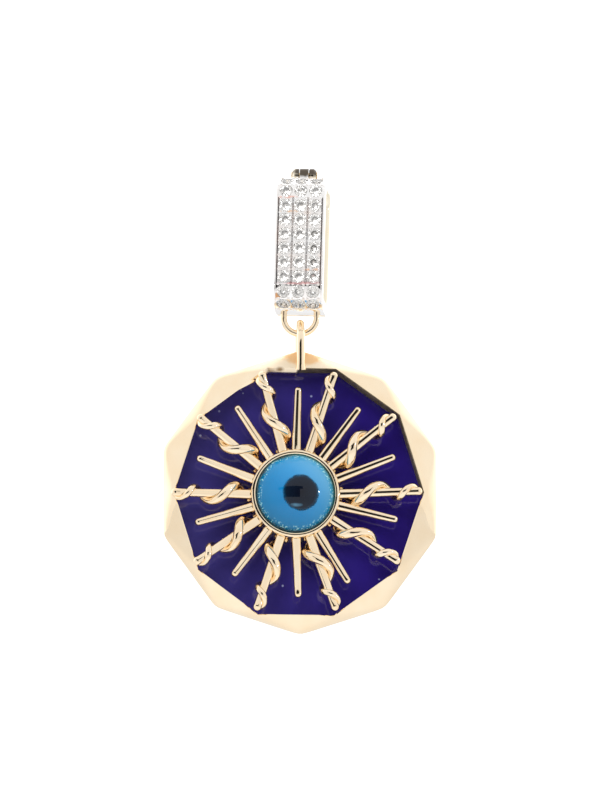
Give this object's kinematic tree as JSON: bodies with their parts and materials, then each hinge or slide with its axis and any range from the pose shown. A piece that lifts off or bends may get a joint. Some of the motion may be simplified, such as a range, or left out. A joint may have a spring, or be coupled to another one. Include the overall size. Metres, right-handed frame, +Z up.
{
  "type": "evil eye pendant",
  "caption": "Gold evil eye pendant: faceted medallion with a blue panel and a sun of plain and ribbon-wound rays round a glass eye, hung from a stone-set hinged chain holder.",
  "frame": {"origin": "the chain's seat: the middle of the inside of the holder's top wall, where the pendant hangs", "axes": "+Z up the hanging pendant, the front faces -Y, +X to the viewer's right along the chain"},
  "size_m": [0.0273, 0.0082, 0.0472],
  "materials": {
    "white_gold": "polished",
    "clear_stone": "cut and polished",
    "yellow_gold": "polished",
    "blue_enamel": "glossy",
    "blue_glass": "glossy",
    "black_glass": "glossy"
  },
  "bodies": {
    "holder": {"holder_front": "white_gold", "pave_stones": "clear_stone", "hinge_pin": "yellow_gold", "hang_loop": "yellow_gold"},
    "gate": {"gate": "yellow_gold"},
    "medallion": {"medallion_frame": "yellow_gold", "blue_panel": "blue_enamel", "sun": "yellow_gold", "eye_glass": "blue_glass", "eye_pupil": "black_glass"}
  },
  "joints": [
    {"name": "gate_hinge", "type": "hinge", "parent": "holder", "child": "gate", "pos_m": [0.00005, -0.00001, 0.00175], "axis": [0.9921, -0.1218, -0.0297], "range_deg": [0, 70]},
    {"name": "medallion_swing", "type": "hinge", "parent": "holder", "child": "medallion", "pos_m": [-0.00042, 0.00005, -0.01432], "axis": [1, 0, 0], "range_deg": [-45, 45]}
  ]
}
